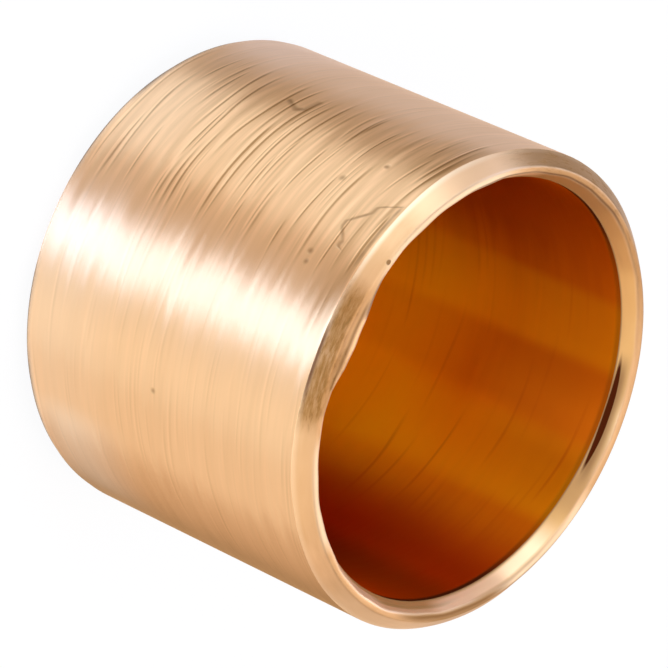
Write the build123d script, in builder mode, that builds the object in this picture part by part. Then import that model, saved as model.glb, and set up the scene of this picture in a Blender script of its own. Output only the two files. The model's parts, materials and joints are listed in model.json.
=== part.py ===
from build123d import *
import os

# Solder plug: a one-piece copper-alloy cup that is soldered over the end of a tube to close it.
# It stands on its closed end, which lies on the XY plane, and its socket opens upwards along +Z.

# Driving dimensions, in millimetres
tube_diameter = 15.0  # outside diameter of the tube that goes into the socket
solder_gap = 0.1  # play on the diameter, which the molten solder fills
wall = 1.0  # side wall between the bore and the outside
socket_depth = 13.0  # from the mouth to the socket's floor
end_thickness = 1.0  # floor of the socket to the outside of the closed end
end_corner = 1.2  # rounding round the outside of the closed end
floor_corner = 0.5  # rounding between the bore and the socket's floor
lip_land = 0.25  # width of the flat ring that is left at the mouth
lead_in_width = 0.29  # how far the lead-in opens the bore at the mouth, on the radius
lead_in_depth = 0.57  # how deep the lead-in goes down the bore
bevel_depth = 0.52  # how far the outer bevel goes down the outside

# Sizes that follow from them
bore_radius = (tube_diameter + solder_gap) / 2
outer_radius = bore_radius + wall
height = end_thickness + socket_depth
land_inner_radius = bore_radius + lead_in_width
land_outer_radius = land_inner_radius + lip_land

with BuildPart() as plug_body:
    # The blank: a solid slug with a bevel round its upper edge and a rounded lower edge
    with BuildSketch(Plane.XZ):
        with BuildLine():
            Polyline(
                (0, 0),
                (outer_radius, 0),
                (outer_radius, height - bevel_depth),
                (land_outer_radius, height),
                (0, height),
                close=True,
            )
        make_face()
    revolve(axis=Axis.Z)
    fillet(plug_body.edges().filter_by(GeomType.CIRCLE).sort_by(Axis.Z)[0], end_corner)

    # The socket: a blind bore with a conical lead-in at its mouth and a rounded floor
    with BuildSketch(Plane.XZ):
        with BuildLine():
            Polyline(
                (0, end_thickness),
                (bore_radius, end_thickness),
                (bore_radius, height - lead_in_depth),
                (land_inner_radius, height),
                (0, height),
                close=True,
            )
        make_face()
    revolve(axis=Axis.Z, mode=Mode.SUBTRACT)
    socket_floor = plug_body.faces(Select.LAST).filter_by(Plane.XY).sort_by(Axis.Z)[0]
    fillet(socket_floor.edges(), floor_corner)

plug_body.part.label = "plug_body"

os.makedirs("parts", exist_ok=True)
export_step(plug_body.part, "parts/plug_body.step")
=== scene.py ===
import json
import math

import bpy
import numpy as np
from mathutils import Matrix, Vector


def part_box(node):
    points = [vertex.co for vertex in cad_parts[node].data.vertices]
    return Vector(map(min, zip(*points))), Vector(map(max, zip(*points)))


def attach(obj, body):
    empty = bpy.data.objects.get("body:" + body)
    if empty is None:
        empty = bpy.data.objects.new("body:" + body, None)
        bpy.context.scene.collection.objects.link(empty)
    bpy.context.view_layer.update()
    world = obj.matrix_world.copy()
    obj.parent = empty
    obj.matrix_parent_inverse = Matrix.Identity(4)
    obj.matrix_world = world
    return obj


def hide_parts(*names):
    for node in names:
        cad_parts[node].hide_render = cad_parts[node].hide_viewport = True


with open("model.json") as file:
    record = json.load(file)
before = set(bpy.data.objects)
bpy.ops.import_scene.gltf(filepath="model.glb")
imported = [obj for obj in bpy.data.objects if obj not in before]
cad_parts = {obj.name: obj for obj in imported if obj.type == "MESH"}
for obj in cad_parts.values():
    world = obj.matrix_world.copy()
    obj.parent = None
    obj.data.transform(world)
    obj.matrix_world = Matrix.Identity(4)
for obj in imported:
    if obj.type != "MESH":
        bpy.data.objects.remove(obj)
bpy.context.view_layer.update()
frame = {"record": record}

bl_info = {
    "name": "Solder plug finish",
    "version": (1, 0, 0),
    "blender": (4, 5, 0),
    "location": "3D View > Sidebar > Solder Plug",
    "description": "Gives the solder plug its brushed copper-alloy skin and sets it in a white studio",
    "category": "Object",
}

MM = 0.001
PLUG_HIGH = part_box("plug_body")[1]
SOCKET = next(m for m in frame["record"]["mounts"] if m["name"] == "socket")
SKIN_NAME = "brushed_plug"

# The skin's mesh: points round it, points to a rounded edge, and the longest step along its section.
POINTS_ROUND = 480
ARC_POINTS = 7
LONGEST_STEP = 0.8 * MM

# Edges of the section, from the closed end over the lip to the socket's floor.
EDGES = ("end_corner", "bevel_foot", "outer_crest", "inner_crest", "bore_mouth", "floor_corner")

# Indices of the first and last of the three finishes, in the order wall, lip, socket.
WALL_ZONE, SOCKET_ZONE = 0, 2

# Waves round the mouth: height, count and phase in degrees. The first set lifts the filed foot of the
# bevel and fades out down the wall, and the second moves the inner crest of the lip.
FILED_WAVES = ((-0.050 * MM, 1, -15), (0.030 * MM, 3, 20), (0.028 * MM, 5, -30), (0.018 * MM, 9, 100))
FILED_FADE = 4 * MM
CREST_WAVES = ((0.016 * MM, 7, 40), (0.013 * MM, 16, 200), (0.011 * MM, 31, 80))

# The burr: turns in degrees and how far it has swelled there, as a share of its size.
BURR = ((-24, 0), (-16, 0.12), (-11, 0.35), (-5, 0.85), (2, 1), (8, 0.8), (14, 0.1), (20, 0))
BURR_SIZE = 0.46 * MM
BURR_GROOVE = 0.08 * MM

# How finely each noise runs, by the two turn numbers of the brush attribute and by its millimetres.
WALL_STROKES = (2.4, 2.4, 3.2)
WALL_HAIRS = (2.4, 2.4, 8.0)
WALL_BANDS = (1.2, 1.2, 2.2)
MARK_BREAKS = (16, 16, 2.0)
WANDER_GRAIN = (1.3, 1.3, 0.5)
SHAKE_GRAIN = (14, 14, 1.6)
LIP_STROKES = (4.0, 4.0, 7.0)
LIP_MOTTLE = (9.0, 9.0, 5.0)
LIP_GRAIN = (14.0, 14.0, 8.0)
SOCKET_STROKES = (2.0, 2.0, 3.0)
SOCKET_CLOUDS = (1.4, 1.4, 0.35)

# The step along the section from one side of a stroke to the other, in millimetres.
STROKE_STEP = (0, 0, 0.17)

# Depth of the strokes in each finish.
WALL_RELIEF = 0.012 * MM
LIP_RELIEF = 0.012 * MM
SOCKET_RELIEF = 0.010 * MM

# How far strokes stretch the highlights of the lip and the socket, and the quarter turn that lays all
# strokes round the plug.
LIP_ANISOTROPY = 0.4
SOCKET_ANISOTROPY = 0.9
STROKES_ROUND = 0.25

# Level scratches: pitch of the rows in millimetres, spans to a row, and the least chance that marks one.
LONG_SCRATCHES = (0.28, 8, 0.52)
SHORT_SCRATCHES = (0.20, 18, 0.6)
SHORT_SCRATCH_LIFT = 0.1
REAMER_LINES = (0.4, 9, 0.5)

# How far their rows wander, in millimetres, where they start and end as shares of a span, and the middle
# and reach of the cut and of its bright side as shares of the pitch.
ROW_WANDER = 0.7
SCRATCH_START = (0.0, 0.3)
SCRATCH_END = (0.6, 1.0)
SCRATCH_CUT = (0.64, 0.30)
SCRATCH_BRIGHT_SIDE = (0.27, 0.27)

# In the marks below, a turn is in degrees from the front towards +X, a level is above the closed end, and
# all lengths are in millimetres. A sector is a turn, the angles from it at which it starts to fade and has
# faded out, and a strength if it isn't 1. A ring is an edge of the section, how far past that edge it lies,
# its reach to either side and, if it has a flat top, the share of its slope at which the top starts.

# Full and fade angles that keep a small mark to its own side of the plug.
SAME_SIDE = (60, 70)

# Marks on the wall. The shake is how far a scratch's course strays, and a pit spreads past its size.
WORN_SECTORS = ((-33, 16, 25, 0.85), (125, 12, 35, 0.25), (184, 20, 40, 0.35), (-118, 12, 30, 0.3))
WORN_LEVELS = (0.1, 0.6)
# Chafed sectors near the mouth: more scratches, and painted shade that darkens the wall.
CHAFED_SHADED_SECTORS = ((-14, 8, 20), (-51, 6, 13))
CHAFED_SHADED_LEVELS = (11.4, 13.2)
HAIRLINE = (
    (-32.8, 13.4),
    (-30.8, 12.9),
    (-29.6, 12.55),
    (-27.0, 12.4),
    (-24.0, 11.95),
    (-22.0, 11.85),
    (-18.8, 12.2),
    (-16.9, 12.25),
    (-15.8, 12.6),
)
HAIRLINE_WIDTH = 0.14
HAIRLINE_TAPER = 0.05
SCORE_LEVEL, SCORE_REACH = 13.27, 0.12
SCORE_SECTOR = (-23.5, 6, 10, 0.8)
VEE_MARK = ((-48.4, 5.76), (-46.6, 6.30), (-47.5, 6.57), (-51.6, 6.66))
VEE_WIDTH = 0.18
SCRATCH_SHAKE = 0.12
PIT_SPREAD = 1.5

# Pits in the wall: turn, level and size in millimetres.
SPECKS = (
    (-33.0, 10.40, 0.13),
    (-13.5, 11.35, 0.12),
    (-11.0, 11.43, 0.10),
    (-40.9, 11.37, 0.11),
    (30.7, 6.90, 0.10),
)

# Paler metal towards the closed end, a painted reflection of the floor, and painted shade round the closed
# end's corner.
PAINTED_SHEEN_LEVELS = (1.5, 6.0)
PAINTED_SHEEN_SECTOR = (61, 5, 18, 0.5)
PAINTED_SHEEN_SECTOR_LEVELS = (-0.5, 3.5)
PAINTED_END_SHADE = ("end_corner", -0.14, 0.75)
UNSHADED_CORNER = (3, 7, 15, 0.7)
PAINTED_SIDE_SHADE = ("end_corner", 0.16, 0.65)
PAINTED_SIDE_SHADE_SECTORS = ((56, 12, 26), (-50, 12, 24))

# Marks on the lip. The torn slope and grain are the numbers between which a ring or a noise fades in.
LIP_RADIUS = 8.0
LAND = ("land_middle", 0, 0.22)
BEVEL_END = (-0.05, 0.02)
LEAD_IN_START = (0, 0.15)
TORN_BEVEL = ("bevel_middle", 0, 0.55)
TORN_BEVEL_SLOPE = (0.05, 0.6)
TORN_BEVEL_SECTOR = (6, 12, 20)
TORN_LAND_SECTOR = (12, 5, 10, 0.6)
TORN_GRAIN = (0.50, 0.68)
BROWNED_BEVEL_SECTOR = (-94, 10, 36, 0.7)
BROWNED_LAND_SECTOR = (-106, 22, 46, 0.5)
# Rubbed edges with painted highlights along the foot of the bevel and on the land.
RUBBED_LIT_FOOT = ("bevel_foot", 0.05, 0.16)
RUBBED_LIT_FOOT_SECTOR = (-36, 14, 28, 0.35)
RUBBED_LIT_LAND_SECTORS = ((-40, 14, 30, 0.7), (42, 10, 18, 0.7), (150, 10, 22, 0.7))
# Painted highlights on the bevel in two sectors.
PAINTED_HIGHLIGHT_SECTORS = ((92, 10, 24, 0.3), (-50, 8, 22, 0.7))
# Painted shade on the bevel in two sectors.
PAINTED_SHADE_BEVEL_SECTORS = ((36, 12, 22, 0.5), (-12, 5, 12, 0.5))
# A ring of painted shade on the lip round the mouth.
PAINTED_LIP_MOUTH_SHADE = ("bore_mouth", 0, 0.08)

# Stripes on the lip: each is a ring and the sector of it that shows.
TORN_STRIPES = (
    (("land_middle", 0.02, 0.06), (2, 8, 13, 0.8)),
    (("inner_crest", -0.10, 0.20), (116, 10, 24)),
    (("outer_crest", -0.05, 0.15), (128, 14, 30, 0.6)),
)
# Painted highlights along the inner crest and on the lead-in.
PAINTED_HIGHLIGHT_STRIPES = (
    (("inner_crest", -0.02, 0.08), (2, 22, 38, 0.8)),
    (("inner_crest", 0.16, 0.36, 0.5), (66, 16, 26, 0.8)),
    (("inner_crest", 0.16, 0.36, 0.5), (-58, 12, 20, 0.8)),
    (("inner_crest", 0.10, 0.20, 0.5), (104, 12, 24, 0.5)),
    (("inner_crest", 0.32, 0.36, 0.6), (133, 13, 26)),
)
# Painted shade in lines along the lip's edges; the first, on the far lead-in, is a painted dark reflection.
PAINTED_SHADE_STRIPES = (
    (("inner_crest", 0.35, 0.33), (187, 11, 20, 0.55)),
    (("inner_crest", -0.02, 0.08), (-82, 26, 38, 0.7)),
    (("inner_crest", 0.32, 0.14), (102, 10, 20, 0.4)),
    (("bevel_foot", 0.05, 0.12), (8, 4, 11, 0.8)),
    (("inner_crest", -0.02, 0.09), (-11, 3, 7, 0.7)),
)

# Spots on the lip: turn, edge, how far past it, reach round the lip and width across it. The fade gives
# the shares of the squared reach at which a spot starts to fade and has faded out.
SPOT_FADE = (0.3, 1.0)
TORN_SPOT = (-19.5, "outer_crest", 0, 0.12, 0.10)
# A painted dark reflection on the far lead-in.
PAINTED_DARK_REFLECTION = (189, "inner_crest", 0.48, 2.5, 0.13)

# Marks in the socket, most of them painted light and shade. The lit way is the direction across it in which
# painted light makes its metal brightest, and the lit spread gives the squares of the cosine from it
# between which that fades in.
FLOOR_LEVELS = (1.2, 2.4)
PAINTED_LIGHT_WAY = (-0.1, 0.995, 0)
PAINTED_LIGHT_SPREAD = (0.42, 0.88)
# Painted light: darker towards the mouth, paler gold towards the floor, and painted reflections in bands
# along the socket.
PAINTED_DARKER_UP_LEVELS = (4.0, 13.0)
PAINTED_GOLD_LEVELS = (2.0, 9.0)
PAINTED_REFLECTION_SECTORS = ((209, 7, 12, 0.3), (167, 7, 14, 0.3))
REAMED_SECTOR = (150, 25, 60, 0.5)
SHADED_BACK = (190, 6, 11)
SHADED_BACK_LEVELS = (5.0, 10.0)
SHADED_SECTORS = ((186, 10, 18, 0.4), (216, 10, 20, 0.4))
SHADED_LEVELS = (8.0, 13.0)
# Painted shade at the socket's low side: darker, redder and nearly black in sectors, and a dark ring round
# the mouth that is fainter on the far side.
PAINTED_SHADE_LOW_SECTOR = (112, 12, 26, 0.7)
PAINTED_RED_SHADE_SECTOR = (108, 16, 42)
PAINTED_SHADE_SECTOR = (102, 10, 24, 0.45)
PAINTED_SHADE_MOUTH = ("bore_mouth", 0, 0.34, 0.75)
UNSHADED_MOUTH = (190, 32, 60, 0.6)

# Upright lamps: range of azimuths in degrees from the front towards +X, heights of the lower and upper
# edge in metres, radiance and tint. They all stand at one distance in metres.
LAMPS = {
    "left_far_lamp": ((-165, -106), (0.09, 0.25), 3.5, (0.30, 0.50, 1.0)),
    "left_lamp": ((-76, -32.5), (0.002, 0.25), 3.3, (0.60, 0.78, 1.0)),
    "front_left_high_lamp": ((-36, -4), (0.12, 0.30), 0.45, (1.0, 0.75, 0.5)),
    "front_strip_lamp": ((-4, 18), (0.002, 0.12), 20.0, (0.34, 0.54, 1.0)),
    "front_high_lamp": ((-34, 34), (0.32, 0.6), 1.3, (1.0, 0.85, 0.7)),
    "left_top_lamp": ((-54, -30), (0.32, 0.6), 2.1, (1.0, 0.85, 0.7)),
    "right_top_lamp": ((40, 66), (0.32, 0.6), 2.9, (1.0, 0.85, 0.7)),
    "right_near_lamp": ((18, 58), (0.002, 0.10), 4.2, (0.64, 0.83, 1.0)),
    "right_lamp": ((58, 90), (0.002, 0.10), 2.5, (0.86, 0.94, 1.0)),
    "right_high_lamp": ((40, 112), (0.10, 0.30), 0.9, (1.0, 0.95, 0.85)),
    "right_edge_lamp": ((90, 118), (0.002, 0.10), 0.8, (1.0, 0.75, 0.6)),
    "back_lamp": ((150, 210), (0.11, 0.47), 1.2, (1.0, 0.92, 0.8)),
}
LAMP_DISTANCE = 0.25

# The overhead lamp: height and side in metres, and radiance.
TOP_LAMP = (0.6, 0.5, 1.4)

# The floor's half side in metres, and the stage's linear colours.
FLOOR_REACH = 1.5
FLOOR_PAINT = (0.92, 0.92, 0.92, 1)
FLOOR_GLOW = (1, 1, 1, 1)
FILL_TINT = (1.0, 0.82, 0.7, 1)

# The camera's sensor in millimetres, and the nearest and farthest it sees in metres.
SENSOR_WIDTH = 36.0
SIGHT = (0.01, 10.0)


def length(name, description, default):
    """A size property in metres."""
    return bpy.props.FloatProperty(
        name=name, description=description, default=default, unit="LENGTH", precision=5
    )


def share(name, description, default):
    """A property from 0 to 1."""
    return bpy.props.FloatProperty(
        name=name, description=description, default=default, min=0, max=1, subtype="FACTOR"
    )


def angle(name, description, degrees):
    """An angle property, given in degrees."""
    return bpy.props.FloatProperty(
        name=name, description=description, default=math.radians(degrees), subtype="ANGLE"
    )


def colour(name, description, default):
    """A linear colour property."""
    return bpy.props.FloatVectorProperty(
        name=name, description=description, default=default, size=3, min=0, max=1, subtype="COLOR"
    )


class PlugShape(bpy.types.PropertyGroup):
    """Sizes of the plug's section"""

    outer_radius: length("Outer radius", "Half the outside diameter", PLUG_HIGH.x)
    height: length("Height", "From the closed end to the mouth", PLUG_HIGH.z)
    bore_radius: length("Bore radius", "Half the socket's diameter", SOCKET["dims"]["r_mm"] * MM)
    end_thickness: length("End thickness", "Metal under the socket's floor", 1.0 * MM)
    end_corner: length("End corner", "Rounding round the closed end", 1.2 * MM)
    floor_corner: length("Floor corner", "Rounding round the socket's floor", 0.5 * MM)
    lip_land: length("Lip land", "Flat ring at the mouth", 0.25 * MM)
    lead_in_width: length("Lead-in width", "How far the lead-in opens the bore", 0.29 * MM)
    lead_in_depth: length("Lead-in depth", "How deep the lead-in goes", 0.57 * MM)
    bevel_depth: length("Bevel depth", "How far the outer bevel goes down the outside", 0.52 * MM)
    edge_break: length("Edge break", "Rounding of the bevel's and the lead-in's lower edges", 0.08 * MM)
    crest_break: length("Crest break", "Rounding of the worn edges of the land", 0.15 * MM)


class PlugFinish(bpy.types.PropertyGroup):
    """Colours and polish of the metal"""

    # Also the colour of the lip's painted highlights.
    bright_metal: colour("Bright metal", "Freshly brushed copper alloy", (1.0, 0.62, 0.335))
    # Also the colour of the painted shade on the bevel.
    dull_metal: colour("Dull metal", "Browned copper alloy down in the strokes", (0.52, 0.28, 0.115))
    # Painted reflection of the floor: paler metal towards the closed end.
    pale_metal: colour("Pale metal", "Whiter metal towards the closed end", (1.0, 0.85, 0.68))
    lip_metal: colour("Lip metal", "Turned metal of the lip", (0.66, 0.38, 0.18))
    lead_in_metal: colour("Lead-in metal", "Flux-browned metal of the lead-in", (0.58, 0.30, 0.10))
    scratch_metal: colour("Scratches", "Dark metal in scratches and pits", (0.22, 0.10, 0.03))
    torn_metal: colour("Torn metal", "Browned metal in the lip's torn patches", (0.29, 0.13, 0.03))
    # Painted shade: a dull brown line round the corner of the closed end.
    tarnish: colour("Tarnish", "Dull brown skin round the corner of the closed end", (0.17, 0.12, 0.075))
    # Painted shade and painted dark reflection, nearly black, on the lip and in the socket.
    stain: colour("Stain", "Burnt flux at the mouth of the socket", (0.06, 0.010, 0.002))
    # Rubbed edges of the lip, paler also as painted highlights.
    edge_metal: colour("Worn edges", "Rubbed, pale edges of the lip", (0.97, 0.76, 0.50))
    amber: colour("Amber", "Heat-coloured metal in the socket", (0.95, 0.25, 0.003))
    # Painted light: paler gold metal towards the socket's floor and in bands along it.
    gold: colour("Gold", "Cleaner metal deep in the socket", (1.0, 0.42, 0.003))
    deep_amber: colour("Deep amber", "Redder metal in the socket", (0.56, 0.10, 0.002))
    # Painted shade: darker red metal at one side of the socket.
    ember: colour("Ember", "Dark red metal at one side of the socket", (0.62, 0.042, 0.002))
    wall_edge_tint: colour("Wall edge tint", "Tint of the wall seen at a slant", (0.24, 0.19, 0.145))
    lip_edge_tint: colour("Lip edge tint", "Tint of the lip seen at a slant", (1.0, 1.0, 1.0))
    socket_edge_tint: colour("Socket edge tint", "Tint of the socket seen at a slant", (0.70, 0.28, 0.01))
    roughness: share("Roughness", "Blur of the brushed wall's reflections", 0.5)
    lip_roughness: share("Lip roughness", "Blur of the lip's reflections", 0.4)
    lip_shine: share("Lip shine", "How much of the lip mirrors, against matt cut metal", 0.65)
    socket_roughness: share("Socket roughness", "Blur of the socket's reflections", 0.6)
    anisotropy: share("Anisotropy", "How far the brushing stretches a highlight along the plug", 1.0)
    stroke_tilt: share("Stroke tilt", "How far single strokes lean to their side", 0.15)


class StudioLayout(bpy.types.PropertyGroup):
    """Camera, lamps and floor"""

    camera_distance: length("Camera distance", "From the lens to the plane of the bevel", 190.3 * MM)
    mouth_right: length("Mouth right", "How far the mouth stands right of the picture's middle", 4.63 * MM)
    mouth_down: length("Mouth down", "How far the mouth stands below the picture's middle", 1.92 * MM)
    axis_tilt: angle("Axis tilt", "Between the plug's axis and the line of sight", 51.54)
    axis_turn: angle("Axis turn", "How far the axis points below the picture's right", 24.31)
    focal_length: bpy.props.FloatProperty(
        name="Focal length", description="Lens on a 36 mm sensor", default=305.1, subtype="DISTANCE_CAMERA"
    )
    floor_white: share("Floor white", "How much of the floor is plain white, without shadow", 0.92)
    fill: bpy.props.FloatProperty(
        name="Fill", description="Level of the light from all round", default=0.33, min=0
    )


def wave(turn, terms):
    """Sum of cosines round the plug, one for each (height, count, phase in degrees)."""
    return sum(h * np.cos(n * turn - np.radians(p)) for h, n, p in terms)


def rounded_section(corners, radii, steps):
    """Straight runs through the corners, each corner rounded by an arc that touches both its runs.

    From the point where the arc leaves the first run, it turns by the angle between the runs: after a
    turn a the point has gone r sin a along the first run and r (1 - cos a) towards the inside of the
    turn. Returns the points, and for each corner the index of the middle of its arc.
    """
    corners = np.asarray(corners, float)
    runs = np.diff(corners, axis=0)
    runs /= np.linalg.norm(runs, axis=1, keepdims=True)
    points, middles, count = [corners[:1]], [], 1
    for here, before, after, radius in zip(corners[1:-1], runs[:-1], runs[1:], radii):
        turn = math.atan2(before[0] * after[1] - before[1] * after[0], before @ after)
        inwards = math.copysign(1, turn) * np.array([-before[1], before[0]])
        start = here - before * radius * math.tan(abs(turn) / 2)
        swing = np.linspace(0, abs(turn), steps)[:, None]
        points.append(start + radius * (np.sin(swing) * before + (1 - np.cos(swing)) * inwards))
        middles.append(count + steps // 2)
        count += steps
    points.append(corners[-1:])
    return np.vstack(points), middles


def divided(points, marks, longest):
    """The same chain with its long runs cut into equal steps, and the marked indices in it."""
    gaps = np.linalg.norm(np.diff(points, axis=0), axis=1)
    cuts = np.ceil(gaps / longest).astype(int).clip(1)
    places = np.concatenate([[0], np.cumsum(cuts)])
    at = np.interp(np.arange(places[-1] + 1), places, np.arange(len(points)))
    index = np.arange(len(points))
    return np.stack([np.interp(at, index, points[:, k]) for k in (0, 1)], axis=1), places[marks]


def plug_skin(shape):
    """The plug's whole skin: its half section swung round the Z axis, with one point at each pole.

    A point of the section at radius r and height z goes to (r sin t, -r cos t, z) at the turn t from
    the front. The foot of the bevel wanders up and down a little round the mouth, as a filed edge does,
    by a sum of waves that fades out down the wall. The lip's inner crest wanders in and out by a
    smaller sum, and at the front a burr pushes it in over some degrees, with a shallow groove between
    it and the bevel.
    """
    land_in = shape.bore_radius + shape.lead_in_width
    corners = [
        (0, 0),
        (shape.outer_radius, 0),
        (shape.outer_radius, shape.height - shape.bevel_depth),
        (land_in + shape.lip_land, shape.height),
        (land_in, shape.height),
        (shape.bore_radius, shape.height - shape.lead_in_depth),
        (shape.bore_radius, shape.end_thickness),
        (0, shape.end_thickness),
    ]
    worn, crest = shape.edge_break, shape.crest_break
    radii = [shape.end_corner, worn, crest, crest, worn, shape.floor_corner]
    section, middles = rounded_section(corners, radii, ARC_POINTS)
    section, marks = divided(section, middles, LONGEST_STEP)
    along = np.concatenate([[0], np.cumsum(np.linalg.norm(np.diff(section, axis=0), axis=1))])
    turn = np.linspace(0, 2 * np.pi, POINTS_ROUND, endpoint=False)

    ring, at = section[1:-1], along[1:-1, None]
    _, foot, outer, inner, mouth, _ = along[marks]
    swell = np.interp((np.degrees(turn) + 180) % 360 - 180, *zip(*BURR))
    filed = np.interp(at, [foot - FILED_FADE, foot, outer], [0, 1, 0]) * wave(turn, FILED_WAVES)
    burr = np.interp(at, [outer, inner, mouth], [0, 1, 0]) * (BURR_SIZE * swell + wave(turn, CREST_WAVES))
    groove = np.interp(at, [outer, (outer + inner) / 2, inner], [0, 1, 0]) * BURR_GROOVE * swell
    r = ring[:, :1] - burr
    z = ring[:, 1:] + filed - groove
    rings = np.stack([r * np.sin(turn), -r * np.cos(turn), z], axis=-1).reshape(-1, 3)
    points = np.vstack([[0, 0, section[0, 1]], rings, [0, 0, section[-1, 1]]])

    rows, around = len(ring), len(turn)
    k, j = np.meshgrid(np.arange(rows - 1), np.arange(around), indexing="ij")
    after = (j + 1) % around
    quads = np.stack([j, after, after + around, j + around], axis=-1) + (k * around + 1)[..., None]
    low = np.stack([np.zeros(around, int), after[0] + 1, j[0] + 1], axis=-1)
    top = 1 + (rows - 1) * around
    high = np.stack([np.full(around, len(points) - 1), top + j[0], top + after[0]], axis=-1)
    return points, quads.reshape(-1, 4), low, high, along, turn, marks


def build_skin(shape):
    """The skin as a mesh object, with the brushing direction kept on its points.

    The attribute "brush" holds (sin t, -cos t, length along the section in millimetres), so that a
    pattern that is stretched in its first two numbers runs round the plug without a seam. Returns the
    object, and the places of the edges along the section in millimetres.
    """
    points, quads, low, high, along, turn, marks = plug_skin(shape)
    loops = np.concatenate([low.ravel(), quads.ravel(), high.ravel()])
    sizes = np.concatenate([np.full(len(low), 3), np.full(len(quads), 4), np.full(len(high), 3)])
    mesh = bpy.data.meshes.new(SKIN_NAME)
    mesh.vertices.add(len(points))
    mesh.vertices.foreach_set("co", points.astype(np.float32).ravel())
    mesh.loops.add(len(loops))
    mesh.loops.foreach_set("vertex_index", loops.astype(np.int32))
    mesh.polygons.add(len(sizes))
    mesh.polygons.foreach_set("loop_start", (np.cumsum(sizes) - sizes).astype(np.int32))
    mesh.polygons.foreach_set("use_smooth", np.ones(len(sizes), bool))
    borders = marks[[EDGES.index("bevel_foot"), EDGES.index("bore_mouth")]]
    zones = np.searchsorted(borders, np.arange(1, len(along) - 2), side="right")
    zones = np.repeat(zones, len(turn))
    zones = np.concatenate([np.full(len(low), WALL_ZONE), zones, np.full(len(high), SOCKET_ZONE)])
    mesh.polygons.foreach_set("material_index", zones.astype(np.int32))
    mesh.update(calc_edges=True)
    mesh.validate()
    rows = len(along) - 2
    brush = np.zeros((len(points), 3))
    brush[1:-1, 0] = np.tile(np.sin(turn), rows)
    brush[1:-1, 1] = np.tile(-np.cos(turn), rows)
    brush[1:-1, 2] = np.repeat(along[1:-1], len(turn)) / MM
    brush[-1, 2] = along[-1] / MM
    field = mesh.attributes.new("brush", "FLOAT_VECTOR", "POINT")
    field.data.foreach_set("vector", brush.astype(np.float32).ravel())
    piece = bpy.data.objects.new(SKIN_NAME, mesh)
    bpy.context.scene.collection.objects.link(piece)
    places = dict(zip(EDGES, along[marks] / MM))
    places["bevel_middle"] = (places["bevel_foot"] + places["outer_crest"]) / 2
    places["land_middle"] = (places["outer_crest"] + places["inner_crest"]) / 2
    return piece, places


class Field:
    """A number or colour that varies over a surface: a socket whose arithmetic adds Math nodes."""

    def __init__(self, tree, socket=None):
        self.tree = tree
        self.socket = socket

    def node(self, kind, settings=(), inputs=(), output=0):
        """Adds a node, sets its settings, then sets or links its inputs, and returns one of its outputs."""
        made = self.tree.nodes.new(kind)
        for name, value in dict(settings).items():
            if name == "stops":
                made.color_ramp.interpolation = "CARDINAL"
                ramp = made.color_ramp.elements
                ramp[0].position, ramp[1].position = value[0][0], value[-1][0]
                ramp[0].color, ramp[1].color = (*value[0][1], 1), (*value[-1][1], 1)
                for place, tone in value[1:-1]:
                    ramp.new(place).color = (*tone, 1)
            else:
                setattr(made, name, value)
        for name, value in dict(inputs).items():
            if isinstance(value, Field):
                self.tree.links.new(value.socket, made.inputs[name])
            else:
                made.inputs[name].default_value = value
        return Field(self.tree, made.outputs[output]) if made.outputs else None

    def maths(self, operation, *values, clamp=False):
        """A Math node on numbers or fields."""
        settings = {"operation": operation, "use_clamp": clamp}
        return self.node("ShaderNodeMath", settings, dict(enumerate(values)))

    def __add__(self, other):
        return self.maths("ADD", self, other)

    def __sub__(self, other):
        return self.maths("SUBTRACT", self, other)

    def __mul__(self, other):
        return self.maths("MULTIPLY", self, other)

    def __truediv__(self, other):
        return self.maths("DIVIDE", self, other)

    def __rsub__(self, other):
        return self.maths("SUBTRACT", other, self)

    def __rtruediv__(self, other):
        return self.maths("DIVIDE", other, self)

    __radd__ = __add__
    __rmul__ = __mul__

    def above(self, low, high, top=1.0):
        """0 below low, the top above high, and a smooth step between."""
        settings = {"interpolation_type": "SMOOTHSTEP"}
        limits = {"Value": self, "From Min": low, "From Max": high, "To Max": top}
        return self.node("ShaderNodeMapRange", settings, limits)

    def near(self, place, reach):
        """1 at the place, falling smoothly to 0 at the reach on either side."""
        return 1 - self.maths("ABSOLUTE", self - place).above(0, reach)

    def vector(self, operation, *values, output=0):
        """Vector arithmetic on vectors or fields."""
        return self.node("ShaderNodeVectorMath", {"operation": operation}, dict(enumerate(values)), output)

    def scaled(self, *factors):
        """A vector with each number times its factor."""
        return self.vector("MULTIPLY", self, factors)

    def part(self, axis):
        """One number of a vector, named X, Y or Z."""
        return self.node("ShaderNodeSeparateXYZ", {}, {0: self}, output=axis)

    def noise(self, detail, roughness=0.5):
        """Smooth noise over this vector, about 0 to 1."""
        values = {"Vector": self, "Scale": 1.0, "Detail": detail, "Roughness": roughness}
        return self.node("ShaderNodeTexNoise", {"noise_dimensions": "3D"}, values)

    def mixed(self, low, high):
        """The colour that goes from low to high as this number goes from 0 to 1."""
        ends = [c if isinstance(c, Field) else (*c, 1) for c in (low, high)]
        settings = {"data_type": "RGBA", "clamp_factor": True}
        return self.node("ShaderNodeMix", settings, {0: self, 6: ends[0], 7: ends[1]}, output=2)


def new_finish(name):
    """An empty node material, and the brush attribute in it as a vector."""
    finish = bpy.data.materials.new(name)
    finish.use_nodes = True
    finish.node_tree.nodes.clear()
    field = Field(finish.node_tree)
    return finish, field.node("ShaderNodeAttribute", {"attribute_name": "brush"}, output="Vector")


def height_of(brush):
    """The height above the closed end, in millimetres."""
    return brush.node("ShaderNodeTexCoord", output="Object").part("Z") / MM


def flow_of(brush, radius):
    """The brush vector, its turn numbers shrinking to 0 at the axis so that nothing splits the ends.

    On a wall of this radius, in millimetres, it is the brush vector itself.
    """
    place = brush.node("ShaderNodeTexCoord", output="Object")
    across = place.scaled(1 / (radius * MM), 1 / (radius * MM), 0)
    return brush.vector("ADD", across, brush.scaled(0, 0, 1))


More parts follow.
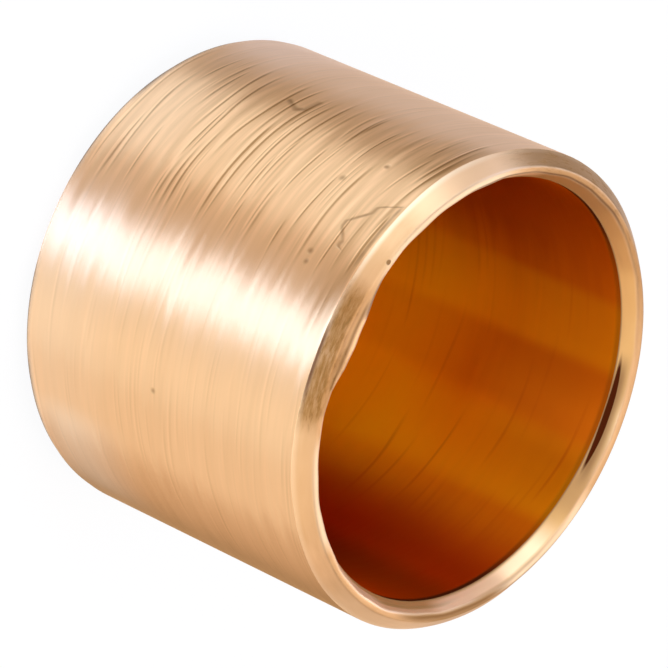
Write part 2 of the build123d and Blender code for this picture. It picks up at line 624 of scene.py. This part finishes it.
def metal(brush, base, rough, normal, anisotropy, edge_tint, shine):
    """The metal shader. A quarter turn of the anisotropy lays the brushing round the plug.

    The edge tint keeps the metal's colour where it is seen at a slant.
    """
    shader = brush.node(
        "ShaderNodeBsdfPrincipled",
        {},
        {
            "Base Color": base,
            "Metallic": shine,
            "Roughness": rough,
            "Specular IOR Level": 0.0,
            "Anisotropic": anisotropy,
            "Anisotropic Rotation": STROKES_ROUND,
            "Specular Tint": (*edge_tint, 1),
            "Normal": normal,
        },
    )
    brush.node("ShaderNodeOutputMaterial", {}, {"Surface": shader})


def dented(brush, relief, depth, **others):
    """The normal of a surface that rises by the depth for each 1 of the relief."""
    values = {"Strength": 1.0, "Distance": depth, "Height": relief, **others}
    return brush.node("ShaderNodeBump", {}, values)


def drift(brush, grain, reach):
    """A soft noise about 0 that strays by half the reach to either side."""
    return (brush.scaled(*grain).noise(detail=1.0) - 0.5) * reach


def sector(brush, turn, full, fade, strength=1.0):
    """The strength within the full angle of a turn, falling to 0 at the fade angle, in degrees."""
    t = math.radians(turn)
    facing = brush.vector("DOT_PRODUCT", brush, (math.sin(t), -math.cos(t), 0), output="Value")
    return facing.above(math.cos(math.radians(fade)), math.cos(math.radians(full)), strength)


def sectors(brush, sides):
    """The sum of several sectors."""
    total = sector(brush, *sides[0])
    for side in sides[1:]:
        total = total + sector(brush, *side)
    return total


def ring(brush, places, edge, past, reach, full=None):
    """1 on the ring past an edge of the section, falling to 0 at its reach on either side.

    With a full share, the ring is already 1 where the slope to it has risen that far.
    """
    slope = brush.part("Z").near(places[edge] + past, reach)
    return slope if full is None else slope.above(0, full)


def stripe(brush, places, where, side):
    """The part of a ring that lies in a sector."""
    return ring(brush, places, *where) * sector(brush, *side)


def turn_of(field):
    """The turn of a vector from the front towards +X, in degrees from -180 to 180."""
    return field.maths("ARCTAN2", field.part("X"), 0 - field.part("Y")) * (180 / math.pi)


def chance(field, first, second):
    """A random number from 0 to 1 for each pair of whole numbers."""
    pair = field.node("ShaderNodeCombineXYZ", {}, {"X": first, "Y": second})
    settings = {"noise_dimensions": "2D"}
    return field.node("ShaderNodeTexWhiteNoise", settings, {"Vector": pair}, output="Value")


def scratch_lines(brush, height, pitch, spans, least):
    """Level scratches as a number: below 0 down in a scratch, above 0 on the bright side just under it.

    The wall is cut into rows one pitch high, and each row into equal spans from a random start. Each
    span has a random number, and where it is above the least it holds a scratch, the deeper the higher
    it is. The rows wander a little up and down, and a scratch fades in and out along its span.
    """
    level = (height + drift(brush, WANDER_GRAIN, ROW_WANDER)) / pitch
    row = level.maths("FLOOR", level)
    up = level - row
    way = (turn_of(brush) / 360 + chance(brush, row, 0.5)) * spans
    span = way.maths("FLOOR", way)
    gone = way - span
    deep = chance(brush, row, span.maths("FLOORED_MODULO", span, spans)).above(least, 1.0)
    fade = gone.above(*SCRATCH_START) * (1 - gone.above(*SCRATCH_END))
    return (up.near(*SCRATCH_BRIGHT_SIDE) * 0.8 - up.near(*SCRATCH_CUT)) * deep * fade


def sideways(brush, turn):
    """How far a point lies to the side of a turn, as a share of its radius, good for a small patch."""
    t = math.radians(turn)
    return brush.vector("DOT_PRODUCT", brush, (math.cos(t), math.sin(t), 0), output="Value")


def wall_place(brush, height, turn, level, radius):
    """Millimetres round and up the wall from a point at a turn and a level."""
    across = sideways(brush, turn) * radius
    return brush.node("ShaderNodeCombineXYZ", {}, {"X": across, "Y": height - level})


def scratch(brush, height, marks, radius, width):
    """1 along a scratch through the marks, each a turn and a level, and 0 a width away from it."""
    turn = sum(t for t, _ in marks) / len(marks)
    level = sum(h for _, h in marks) / len(marks)
    place = wall_place(brush, height, turn, level, radius)
    flat = [Vector((radius * math.sin(math.radians(t - turn)), h - level, 0)) for t, h in marks]
    shake = drift(brush, SHAKE_GRAIN, SCRATCH_SHAKE)
    place = place.vector("ADD", place, brush.node("ShaderNodeCombineXYZ", {}, {"X": shake, "Y": shake}))
    gap = None
    for start, end in zip(flat, flat[1:]):
        run = end - start
        gone = place.vector("SUBTRACT", place, start)
        part = place.vector("DOT_PRODUCT", gone, run / run.length_squared, output="Value")
        part = place.maths("ADD", part, 0.0, clamp=True)
        reach = place.node("ShaderNodeVectorMath", {"operation": "SCALE"}, {0: run, "Scale": part})
        here = place.vector("DISTANCE", gone, reach, output="Value")
        gap = here if gap is None else place.maths("MINIMUM", gap, here)
    return (1 - gap.above(0, width)) * sector(brush, turn, *SAME_SIDE)


def hairline(brush, height, marks, width):
    """1 along a scratch whose level follows the marks, each a turn and a level, and 0 a width off it."""
    first, last = marks[0][0], marks[-1][0]
    low = min(level for _, level in marks)
    rise = max(level for _, level in marks) - low
    way = (turn_of(brush) - first) / (last - first)
    stops = [((t - first) / (last - first), ((level - low) / rise,) * 3) for t, level in marks]
    level = low + brush.node("ShaderNodeValToRGB", {"stops": stops}, {"Fac": way}) * rise
    return (height - level).near(0.0, width) * way.near(0.5, 0.5).above(0.0, HAIRLINE_TAPER)


def speck(brush, height, turn, level, radius, size):
    """1 in the middle of a pit in the wall, and 0 outside the spread of its size."""
    place = wall_place(brush, height, turn, level, radius)
    away = place.vector("LENGTH", place, output="Value")
    return (1 - away.above(0, PIT_SPREAD * size)) * sector(brush, turn, *SAME_SIDE)


def lip_spot(brush, places, turn, edge, past, reach, width):
    """1 at a spot on the lip, and 0 outside an ellipse of this reach round the lip and width across."""
    gone = sideways(brush, turn) * (LIP_RADIUS / reach)
    across = (brush.part("Z") - (places[edge] + past)) / width
    return (1 - (gone * gone + across * across).above(*SPOT_FADE)) * sector(brush, turn, *SAME_SIDE)


# In the sums of the finishes, a number is the weight of the pattern beside it or the middle of its range.


def brushed_wall(finish, shape, places):
    """The brushed outside: strokes that run round the plug, in tone, polish, tilt and height.

    The strokes are noise on the brush attribute, squeezed along the section and stretched round it. The
    noise less the same noise a little further up gives each stroke a light and a dark side. Single
    scratches lie over them, long and short, and more of both show in the worn sectors. Each stroke
    tilts the metal a little to its side, which frays the edges of the highlights.
    """
    skin, brush = new_finish("brushed_wall")
    height = height_of(brush)
    radius = shape.outer_radius / MM
    flow = flow_of(brush, radius)
    stroke = flow.scaled(*WALL_STROKES).noise(detail=1.5)
    beside = flow.vector("ADD", flow, STROKE_STEP).scaled(*WALL_STROKES).noise(detail=1.5)
    hair = flow.scaled(*WALL_HAIRS).noise(detail=2.0, roughness=0.6)
    band = flow.scaled(*WALL_BANDS).noise(detail=2.0)
    line = scratch_lines(brush, height, *LONG_SCRATCHES)
    line = line + scratch_lines(brush, height + SHORT_SCRATCH_LIFT, *SHORT_SCRATCHES) * 0.8
    # Chafed sectors near the mouth: more scratches there, and painted shade that darkens the wall's tone.
    chafed_and_shaded = height.above(*CHAFED_SHADED_LEVELS) * sectors(brush, CHAFED_SHADED_SECTORS)
    worn = 0.10 + chafed_and_shaded * 0.6 + sectors(brush, WORN_SECTORS)
    worn = worn * height.above(*WORN_LEVELS)
    groove = brush.maths("MAXIMUM", 0 - line, 0.0) * worn
    marks = hairline(brush, height, HAIRLINE, HAIRLINE_WIDTH) * 0.8
    marks = marks + height.near(SCORE_LEVEL, SCORE_REACH) * sector(brush, *SCORE_SECTOR)
    marks = marks + scratch(brush, height, VEE_MARK, radius, VEE_WIDTH) * 0.8
    marks = marks * (0.35 + brush.scaled(*MARK_BREAKS).noise(detail=1.0))
    for turn, level, size in SPECKS:
        marks = marks + speck(brush, height, turn, level, radius, size) * 0.7
    tone = 0.75 + line * worn * 1.1 + (stroke - beside) * worn * 0.8 + (hair - 0.5) * (worn * 0.3 + 0.13)
    tone = tone + (band - 0.5) * 0.2 - chafed_and_shaded * 0.25
    base = tone.mixed(finish.dull_metal, finish.bright_metal)
    # Painted reflection of the floor: paler metal towards the closed end, more in one sector.
    pale = sector(brush, *PAINTED_SHEEN_SECTOR) * height.above(*PAINTED_SHEEN_SECTOR_LEVELS)
    pale = (1 - height.above(*PAINTED_SHEEN_LEVELS)) * (0.15 + pale)
    base = pale.mixed(base, finish.pale_metal)
    # Painted shade: a dark matt line round the corner of the closed end, left out under the highlight and
    # higher up at two sides.
    tarnish = ring(brush, places, *PAINTED_END_SHADE) * (1 - sector(brush, *UNSHADED_CORNER))
    painted_side_shade = ring(brush, places, *PAINTED_SIDE_SHADE) * sectors(brush, PAINTED_SIDE_SHADE_SECTORS)
    tarnish = brush.maths("MAXIMUM", tarnish, painted_side_shade)
    base = tarnish.mixed(base, finish.tarnish)
    base = (marks * 0.75).mixed(base, finish.scratch_metal)
    rough = finish.roughness + (hair - 0.5) * 0.12 + groove * 0.06
    quarter = {"Vector": brush.scaled(1, 1, 0), "Angle": math.pi / 2}
    side = brush.node("ShaderNodeVectorRotate", {"rotation_type": "Z_AXIS"}, quarter)
    side = brush.node("ShaderNodeVectorTransform", {"vector_type": "NORMAL"}, {0: side})
    lean = (stroke - 0.5) * finish.stroke_tilt
    tilt = brush.node("ShaderNodeVectorMath", {"operation": "SCALE"}, {0: side, "Scale": lean})
    facing = brush.vector("ADD", brush.node("ShaderNodeNewGeometry", output="Normal"), tilt)
    facing = brush.vector("NORMALIZE", facing)
    relief = (hair - 0.5) * 0.5 + (stroke - 0.5) * 0.5 - groove - marks
    bump = dented(brush, relief, WALL_RELIEF, Normal=facing)
    metal(brush, base, rough, bump, finish.anisotropy, finish.wall_edge_tint, 1 - tarnish)
    return skin


def turned_lip(finish, places):
    """The lip: faintly turned metal, pale at rubbed edges and painted highlights, browned and painted with
    shade in places.

    It is painted in rings along the edges of the section, most of them in some sectors only. Noise
    breaks up the torn patch at the front.
    """
    skin, brush = new_finish("turned_lip")
    along = brush.part("Z")
    stroke = brush.scaled(*LIP_STROKES).noise(detail=2.0)
    mottle = brush.scaled(*LIP_MOTTLE).noise(detail=2.0)
    grain = brush.scaled(*LIP_GRAIN).noise(detail=4.0, roughness=0.65)
    land = ring(brush, places, *LAND)
    bevel = 1 - along.above(*[places["outer_crest"] + past for past in BEVEL_END])
    lead_in = along.above(*[places["inner_crest"] + past for past in LEAD_IN_START])
    patch = ring(brush, places, *TORN_BEVEL).above(*TORN_BEVEL_SLOPE)
    patch = patch * sector(brush, *TORN_BEVEL_SECTOR)
    patch = patch + land * sector(brush, *TORN_LAND_SECTOR)
    patch = patch * (0.85 + (grain - 0.5) * 1.8)
    patch = patch + bevel * sector(brush, *BROWNED_BEVEL_SECTOR)
    patch = patch + land * sector(brush, *BROWNED_LAND_SECTOR)
    torn = patch * grain.above(*TORN_GRAIN) * 0.75
    for where, side in TORN_STRIPES:
        torn = torn + stripe(brush, places, where, side)
    torn = torn + lip_spot(brush, places, *TORN_SPOT)
    tone = 0.8 + (stroke - 0.5) * 0.5 + (mottle - 0.5) * 0.7
    base = tone.mixed(finish.dull_metal, finish.lip_metal)
    base = lead_in.mixed(base, finish.lead_in_metal)
    # Rubbed edges and painted highlights: paler metal along the bevel's foot and on the land in some
    # sectors.
    rubbed_and_lit_edges = ring(brush, places, *RUBBED_LIT_FOOT) * (sector(brush, *RUBBED_LIT_FOOT_SECTOR) + 0.12)
    rubbed_and_lit_edges = rubbed_and_lit_edges + land * sectors(brush, RUBBED_LIT_LAND_SECTORS)
    # Painted highlights on the bevel, the inner crest and the lead-in in some sectors.
    bright = bevel * sectors(brush, PAINTED_HIGHLIGHT_SECTORS)
    for where, side in PAINTED_HIGHLIGHT_STRIPES:
        bright = bright + stripe(brush, places, where, side)
    base = bright.mixed(base, finish.bright_metal)
    # Painted shade on the bevel in two sectors.
    painted_bevel_shade = bevel * sectors(brush, PAINTED_SHADE_BEVEL_SECTORS)
    base = painted_bevel_shade.mixed(base, finish.dull_metal)
    base = patch.mixed(base, finish.torn_metal)
    base = rubbed_and_lit_edges.mixed(base, finish.edge_metal)
    base = (torn * 0.9).mixed(base, finish.scratch_metal)
    # Painted shade in lines round the mouth and along the lip's edges, and a painted dark reflection on the
    # far lead-in, all of it matt.
    painted_lip_shade = lip_spot(brush, places, *PAINTED_DARK_REFLECTION) + ring(brush, places, *PAINTED_LIP_MOUTH_SHADE) * 0.6
    for where, side in PAINTED_SHADE_STRIPES:
        painted_lip_shade = painted_lip_shade + stripe(brush, places, where, side)
    base = painted_lip_shade.mixed(base, finish.stain)
    shine = patch * (1 - finish.lip_shine) - torn - painted_lip_shade
    shine = brush.maths("ADD", finish.lip_shine, shine, clamp=True)
    rough = finish.lip_roughness + (stroke - 0.5) * 0.1 + torn * 0.1
    relief = (stroke - 0.5) * 0.3 + (mottle - 0.5) * 0.2 - torn * 0.4 + (grain - 0.5) * patch * 0.8
    bump = dented(brush, relief, LIP_RELIEF)
    metal(brush, base, rough, bump, LIP_ANISOTROPY, finish.lip_edge_tint, shine)
    return skin


def amber_socket(finish, shape, places):
    """The socket: metal gone deep amber from the heat, redder at the sides, with soft lines of the reamer.

    Painted light makes its metal brightest along one way across it and paler towards the floor, and noise
    clouds it. Painted shade darkens bands along it in some sectors, reddens one side and rings its mouth.
    """
    skin, brush = new_finish("amber_socket")
    height = height_of(brush)
    flow = flow_of(brush, shape.bore_radius / MM)
    stroke = flow.scaled(*SOCKET_STROKES).noise(detail=3.0, roughness=0.6)
    cloud = flow.scaled(*SOCKET_CLOUDS).noise(detail=2.0)
    wall = height.above(*FLOOR_LEVELS)
    line = scratch_lines(brush, height, *REAMER_LINES) * wall * (0.3 + sector(brush, *REAMED_SECTOR))
    # Painted light: the socket is brightest where it faces one way across, and darker towards the mouth.
    facing = brush.vector("DOT_PRODUCT", brush, PAINTED_LIGHT_WAY, output="Value")
    front = (facing * facing).above(*PAINTED_LIGHT_SPREAD) * wall + (1 - wall) * 0.6
    bright = front * (1.1 - height.above(*PAINTED_DARKER_UP_LEVELS, 0.8))
    tone = bright + (stroke - 0.5) * 0.4 + (cloud - 0.5) * 0.5
    base = tone.mixed(finish.deep_amber, finish.amber)
    # Painted light: paler gold towards the floor and on the lit side, and painted reflections in bands
    # along the socket.
    painted_gold_light = (1 - height.above(*PAINTED_GOLD_LEVELS)) * (0.25 + front * 0.9)
    painted_gold_light = painted_gold_light + sectors(brush, PAINTED_REFLECTION_SECTORS) * wall
    base = painted_gold_light.mixed(base, finish.gold)
    # Painted shade in bands along the socket and at its low side, with the dark reamer lines.
    shade = sector(brush, *SHADED_BACK) * (0.15 + height.above(*SHADED_BACK_LEVELS, 0.25))
    shade = shade + sectors(brush, SHADED_SECTORS) * height.above(*SHADED_LEVELS)
    shade = shade + sector(brush, *PAINTED_SHADE_LOW_SECTOR) + brush.maths("MAXIMUM", 0 - line, 0.0) * 0.6
    base = (shade * wall).mixed(base, finish.deep_amber)
    # Painted shade at one side of the socket: darker red, then nearly black.
    base = (sector(brush, *PAINTED_RED_SHADE_SECTOR) * wall * (0.5 + cloud * 0.6)).mixed(base, finish.ember)
    base = (sector(brush, *PAINTED_SHADE_SECTOR) * wall).mixed(base, finish.stain)
    # Painted shade: a dark matt ring round the mouth, fainter on the far side.
    mouth = ring(brush, places, *PAINTED_SHADE_MOUTH) * (1 - sector(brush, *UNSHADED_MOUTH))
    base = mouth.mixed(base, finish.stain)
    rough = finish.socket_roughness + (stroke - 0.5) * 0.15
    bump = dented(brush, stroke, SOCKET_RELIEF)
    metal(brush, base, rough, bump, SOCKET_ANISOTROPY, finish.socket_edge_tint, 1 - mouth * 0.9)
    return skin


def softbox(name, azimuths, heights, radiance, tint):
    """An upright lamp that faces the plug and fills a range of azimuths, from a lower to an upper height.

    A lamp of power P and area A has a radiance of P / (pi A).
    """
    azimuth = math.radians(sum(azimuths) / 2)
    away = Vector((math.sin(azimuth), -math.cos(azimuth), 0))
    light = bpy.data.lights.new(name, "AREA")
    light.shape = "RECTANGLE"
    light.size = 2 * LAMP_DISTANCE * math.tan(math.radians(azimuths[1] - azimuths[0]) / 2)
    light.size_y = heights[1] - heights[0]
    light.energy = radiance * math.pi * light.size * light.size_y
    light.color = tint
    lamp = bpy.data.objects.new(name, light)
    lamp.location = away * LAMP_DISTANCE + Vector((0, 0, sum(heights) / 2))
    lamp.rotation_mode = "QUATERNION"
    lamp.rotation_quaternion = away.to_track_quat("Z", "Y")
    lamp.visible_camera = False
    bpy.context.scene.collection.objects.link(lamp)


def overhead_lamp(name, height, side, radiance):
    """A square lamp straight above the plug."""
    light = bpy.data.lights.new(name, "AREA")
    light.size = side
    light.energy = radiance * math.pi * side * side
    lamp = bpy.data.objects.new(name, light)
    lamp.location = (0, 0, height)
    lamp.visible_camera = False
    bpy.context.scene.collection.objects.link(lamp)


def white_floor(studio):
    """A large pale floor that shows white to the camera and in the metal, and keeps a faint shadow."""
    mesh = bpy.data.meshes.new("floor")
    signs = ((-1, -1), (1, -1), (1, 1), (-1, 1))
    mesh.from_pydata([(FLOOR_REACH * x, FLOOR_REACH * y, 0) for x, y in signs], [], [(0, 1, 2, 3)])
    paint = bpy.data.materials.new("floor_white")
    paint.use_nodes = True
    paint.node_tree.nodes.clear()
    field = Field(paint.node_tree)
    ray = "ShaderNodeLightPath"
    seen = field.node(ray, output="Is Camera Ray") + field.node(ray, output="Is Glossy Ray")
    seen = seen + field.node(ray, output="Is Transmission Ray")
    matt = field.node("ShaderNodeBsdfDiffuse", {}, {"Color": FLOOR_PAINT})
    glow = field.node("ShaderNodeEmission", {}, {"Color": FLOOR_GLOW, "Strength": 1.0})
    both = field.node("ShaderNodeMixShader", {}, {0: seen * studio.floor_white, 1: matt, 2: glow})
    field.node("ShaderNodeOutputMaterial", {}, {"Surface": both})
    mesh.materials.append(paint)
    floor = bpy.data.objects.new("floor", mesh)
    bpy.context.scene.collection.objects.link(floor)


def set_camera(studio, shape):
    """The camera that sees the plug as the photograph does.

    The plug's axis makes the tilt with the line of sight, and in the picture it points to the right and
    down by the turn. The foot of the bevel then lies at its place in the picture at the camera's
    distance.
    """
    tilt, turn = studio.axis_tilt, studio.axis_turn
    right = Vector((-math.sin(turn), math.cos(tilt) * math.cos(turn), math.sin(tilt) * math.cos(turn)))
    down = Vector((math.cos(turn), math.cos(tilt) * math.sin(turn), math.sin(tilt) * math.sin(turn)))
    ahead = Vector((0, math.sin(tilt), -math.cos(tilt)))
    mouth = Vector((0, 0, shape.height - shape.bevel_depth))
    place = mouth - right * studio.mouth_right - down * studio.mouth_down - ahead * studio.camera_distance
    lens = bpy.data.cameras.new("camera")
    lens.sensor_width = SENSOR_WIDTH
    lens.lens = studio.focal_length
    lens.clip_start, lens.clip_end = SIGHT
    camera = bpy.data.objects.new("camera", lens)
    axes = Matrix((right, -down, -ahead)).transposed()
    camera.matrix_world = Matrix.Translation(place) @ axes.to_4x4()
    bpy.context.scene.collection.objects.link(camera)
    bpy.context.scene.camera = camera


def set_world(studio):
    """Even light from all round."""
    world = bpy.data.worlds.new("studio")
    world.use_nodes = True
    world.node_tree.nodes.clear()
    field = Field(world.node_tree)
    glow = field.node("ShaderNodeBackground", {}, {"Color": FILL_TINT, "Strength": studio.fill})
    field.node("ShaderNodeOutputWorld", {}, {"Surface": glow})
    bpy.context.scene.world = world


class PLUG_OT_skin(bpy.types.Operator):
    """Make the plug's brushed skin in place of its plain solid"""

    bl_idname = "solder_plug.skin"
    bl_label = "Brushed plug"

    def execute(self, context):
        shape, finish = context.scene.plug_shape, context.scene.plug_finish
        piece, places = build_skin(shape)
        piece.data.materials.append(brushed_wall(finish, shape, places))
        piece.data.materials.append(turned_lip(finish, places))
        piece.data.materials.append(amber_socket(finish, shape, places))
        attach(piece, "root")
        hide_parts("plug_body")
        return {"FINISHED"}


class PLUG_OT_studio(bpy.types.Operator):
    """Set the floor, the lamps and the camera"""

    bl_idname = "solder_plug.studio"
    bl_label = "Studio"

    def execute(self, context):
        scene = context.scene
        studio = scene.plug_studio
        white_floor(studio)
        set_world(studio)
        set_camera(studio, scene.plug_shape)
        for name, lamp in LAMPS.items():
            softbox(name, *lamp)
        overhead_lamp("top_lamp", *TOP_LAMP)
        scene.view_settings.view_transform = "Standard"
        return {"FINISHED"}


class PLUG_PT_sidebar(bpy.types.Panel):
    """Sizes, finish and studio of the solder plug"""

    bl_label = "Solder Plug"
    bl_space_type = "VIEW_3D"
    bl_region_type = "UI"
    bl_category = "Solder Plug"

    def draw(self, context):
        for group in (context.scene.plug_shape, context.scene.plug_finish, context.scene.plug_studio):
            box = self.layout.box()
            for name in group.__annotations__:
                box.prop(group, name)
        self.layout.operator(PLUG_OT_skin.bl_idname)
        self.layout.operator(PLUG_OT_studio.bl_idname)


CLASSES = (PlugShape, PlugFinish, StudioLayout, PLUG_OT_skin, PLUG_OT_studio, PLUG_PT_sidebar)
GROUPS = {"plug_shape": PlugShape, "plug_finish": PlugFinish, "plug_studio": StudioLayout}


def register():
    for made in CLASSES:
        bpy.utils.register_class(made)
    for name, group in GROUPS.items():
        setattr(bpy.types.Scene, name, bpy.props.PointerProperty(type=group))


def unregister():
    for name in GROUPS:
        delattr(bpy.types.Scene, name)
    for made in reversed(CLASSES):
        bpy.utils.unregister_class(made)


def main():
    register()
    bpy.ops.solder_plug.skin()
    bpy.ops.solder_plug.studio()


if __name__ == "__main__":
    main()
